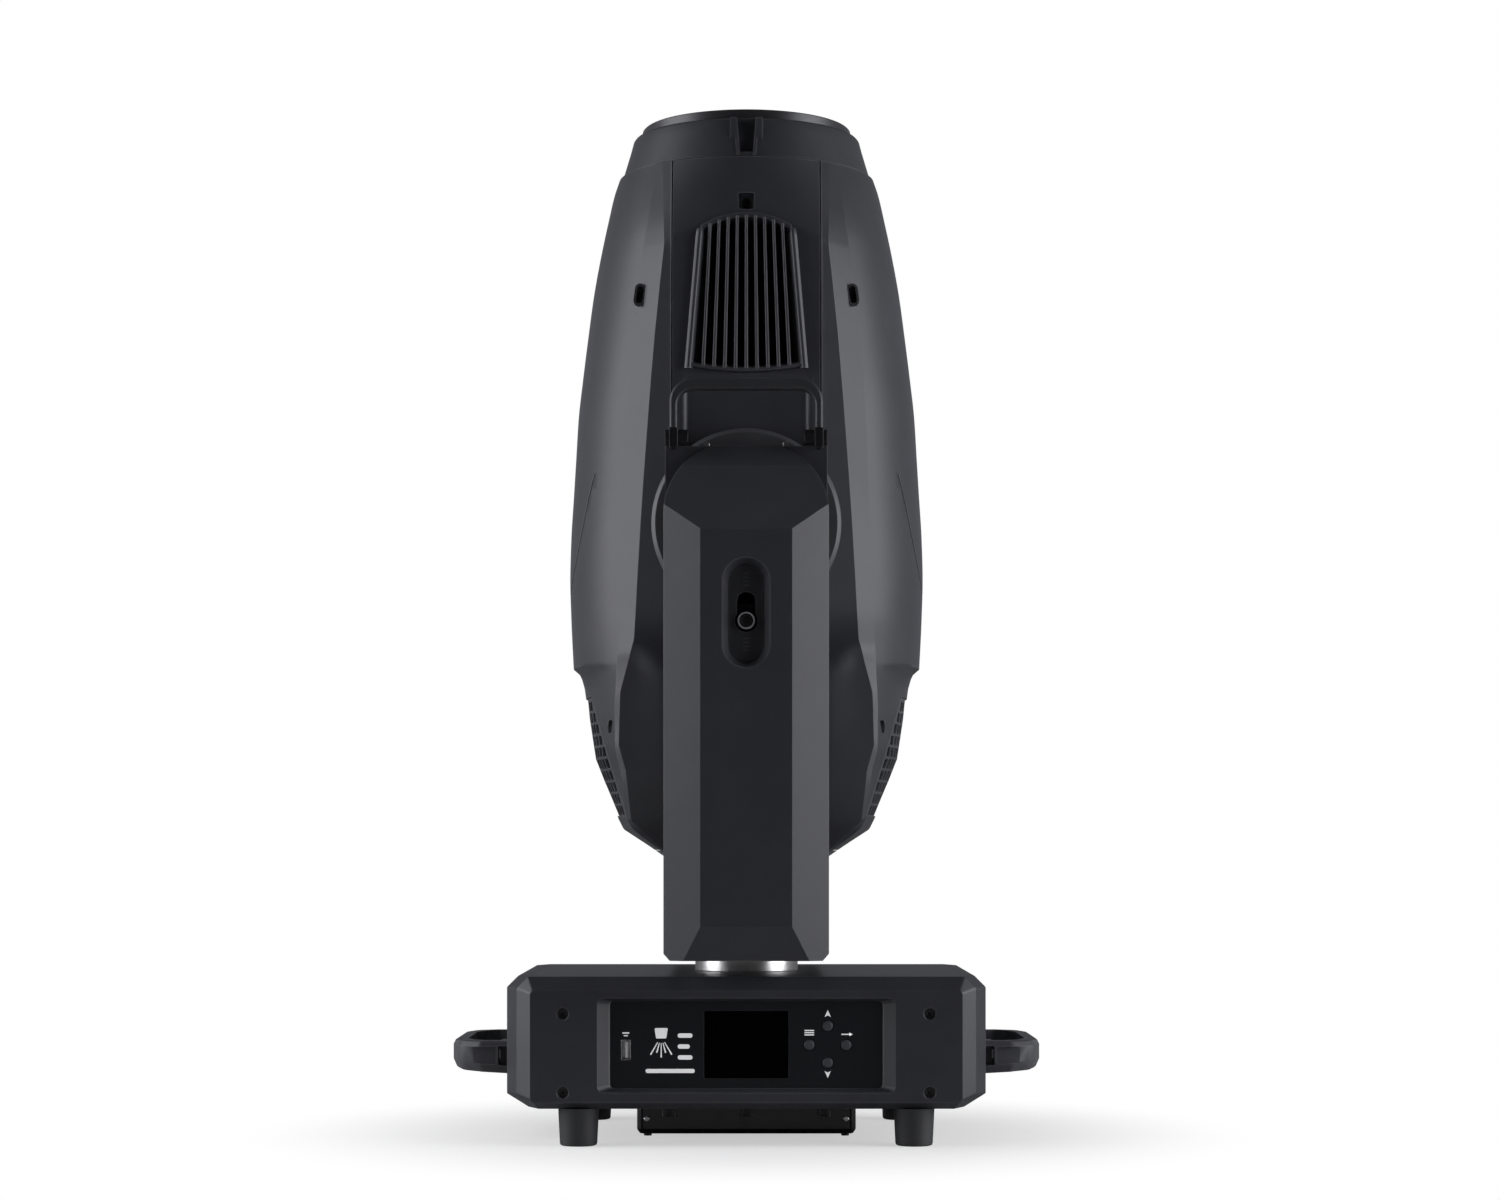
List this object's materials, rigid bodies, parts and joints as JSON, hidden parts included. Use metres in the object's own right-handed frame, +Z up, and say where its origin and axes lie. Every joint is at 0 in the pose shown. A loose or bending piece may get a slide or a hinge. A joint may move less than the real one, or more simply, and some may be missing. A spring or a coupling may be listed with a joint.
{
  "type": "moving head stage light",
  "caption": "Moving head stage light: floor base with control panel and handles, panning two-arm yoke, and a long tilting faceted head with front lens and vents.",
  "frame": {"origin": "on the pan axis at floor level, in the plane of the feet's undersides", "axes": "+Z up along the pan axis, -Y towards the control panel, +X to the right when facing the control panel"},
  "size_m": [0.444, 0.4, 0.77],
  "materials": {
    "shell_plastic": "fine moulded texture, charcoal",
    "painted_metal": "satin black powder coat",
    "panel_plastic": "semi-gloss near-black panel foil",
    "gloss_black": "glossy black",
    "screen_glass": "black glass, display off",
    "button_rubber": "dark silicone key",
    "rubber": "matte black rubber",
    "black_steel": "black oxide steel",
    "bright_steel": "turned steel",
    "chrome": "polished chrome",
    "gear_aluminium": "machined aluminium",
    "zinc_sheet": "zinc-plated sheet",
    "circuit_board": "green solder mask",
    "lens_glass": "coated clear glass"
  },
  "bodies": {
    "base": {"base_chassis": "painted_metal", "base_top_plate": "painted_metal", "front_end_cover": "shell_plastic", "rear_end_cover": "shell_plastic", "base_screws": "black_steel", "side_handles": "shell_plastic", "rubber_feet": "rubber", "bottom_cover": "gloss_black", "safety_cable_eye": "bright_steel", "control_panel": "panel_plastic", "display_screen": "screen_glass", "usb_socket": "bright_steel", "control_board": "circuit_board", "rear_connector_plate": "painted_metal", "rear_sockets": "panel_plastic", "power_supply": "zinc_sheet", "pan_hub": "chrome", "pan_bearings": "bright_steel", "pan_gear": "gear_aluminium"},
    "yoke": {"yoke_frame": "zinc_sheet", "arm_cover_front": "shell_plastic", "arm_cover_rear": "shell_plastic", "arm_inner_covers": "shell_plastic", "yoke_base_cover": "shell_plastic", "pan_shaft": "bright_steel", "tilt_bearings": "bright_steel", "drive_motors": "painted_metal", "drive_belts": "rubber", "bail_brackets": "black_steel"},
    "head": {"side_plate_front": "shell_plastic", "side_plate_rear": "shell_plastic", "head_cover_right": "shell_plastic", "head_cover_left": "shell_plastic", "vent_grilles": "shell_plastic", "rear_cap": "shell_plastic", "rear_grilles": "shell_plastic", "nose_cover": "shell_plastic", "front_rim": "painted_metal", "front_lens": "lens_glass", "tilt_hubs": "painted_metal", "tilt_gear": "gear_aluminium", "head_frame": "zinc_sheet", "head_screws": "black_steel", "heatsink": "gear_aluminium", "led_engine": "circuit_board", "fan_frame": "panel_plastic", "guide_rods": "bright_steel"},
    "button_up": {"button_up": "button_rubber"},
    "button_down": {"button_down": "button_rubber"},
    "button_menu": {"button_menu": "button_rubber"},
    "button_enter": {"button_enter": "button_rubber"},
    "bail_front": {"arm_handle_front": "painted_metal"},
    "bail_rear": {"arm_handle_rear": "painted_metal"},
    "tilt_lock": {"tilt_lock_knob": "black_steel"},
    "pan_pulley": {"pan_motor_pulley": "gear_aluminium"},
    "tilt_pulley": {"tilt_motor_pulley": "gear_aluminium"},
    "fan": {"fan_rotor": "panel_plastic"},
    "zoom": {"zoom_carriage": "painted_metal"},
    "focus": {"focus_carriage": "painted_metal"},
    "gobo": {"gobo_wheel": "bright_steel"}
  },
  "joints": [
    {"name": "pan", "type": "hinge", "parent": "base", "child": "yoke", "pos_m": [0, 0, 0.1385], "axis": [0, 0, 1], "range_deg": [-270, 270]},
    {"name": "tilt", "type": "hinge", "parent": "yoke", "child": "head", "pos_m": [0, 0, 0.4575], "axis": [0, 1, 0], "range_deg": [-134, 134]},
    {"name": "pan_pulley_spin", "type": "hinge", "parent": "yoke", "child": "pan_pulley", "pos_m": [0, 0.075, 0.1475], "axis": [0, 0, 1], "range_deg": [-1530, 1530]},
    {"name": "tilt_pulley_spin", "type": "hinge", "parent": "yoke", "child": "tilt_pulley", "pos_m": [0, -0.148, 0.25], "axis": [0, 1, 0], "range_deg": [-550, 550]},
    {"name": "bail_front_fold", "type": "hinge", "parent": "yoke", "child": "bail_front", "pos_m": [0, -0.1555, 0.515], "axis": [1, 0, 0], "range_deg": [0, 90]},
    {"name": "bail_rear_fold", "type": "hinge", "parent": "yoke", "child": "bail_rear", "pos_m": [0, 0.1555, 0.515], "axis": [-1, 0, 0], "range_deg": [0, 90]},
    {"name": "tilt_lock_slide", "type": "slide", "parent": "yoke", "child": "tilt_lock", "axis": [0, 0, 1], "range_m": [0, 0.012]},
    {"name": "fan_spin", "type": "hinge", "parent": "head", "child": "fan", "pos_m": [0, 0, 0.231], "axis": [0, 0, 1], "continuous": true},
    {"name": "gobo_spin", "type": "hinge", "parent": "head", "child": "gobo", "pos_m": [0.042, 0, 0.401], "axis": [0, 0, 1], "continuous": true},
    {"name": "zoom_slide", "type": "slide", "parent": "head", "child": "zoom", "axis": [0, 0, 1], "range_m": [0, 0.045]},
    {"name": "focus_slide", "type": "slide", "parent": "head", "child": "focus", "axis": [0, 0, 1], "range_m": [0, 0.045]},
    {"name": "button_up_press", "type": "slide", "parent": "base", "child": "button_up", "axis": [0, 1, 0], "range_m": [0, 0.0009], "stiffness_N_per_m": 400},
    {"name": "button_down_press", "type": "slide", "parent": "base", "child": "button_down", "axis": [0, 1, 0], "range_m": [0, 0.0009], "stiffness_N_per_m": 400},
    {"name": "button_menu_press", "type": "slide", "parent": "base", "child": "button_menu", "axis": [0, 1, 0], "range_m": [0, 0.0009], "stiffness_N_per_m": 400},
    {"name": "button_enter_press", "type": "slide", "parent": "base", "child": "button_enter", "axis": [0, 1, 0], "range_m": [0, 0.0009], "stiffness_N_per_m": 400}
  ],
  "couplings": [
    {"joint": "pan_pulley_spin", "follows": "pan", "ratio": -5.625},
    {"joint": "tilt_pulley_spin", "follows": "tilt", "ratio": 4}
  ]
}
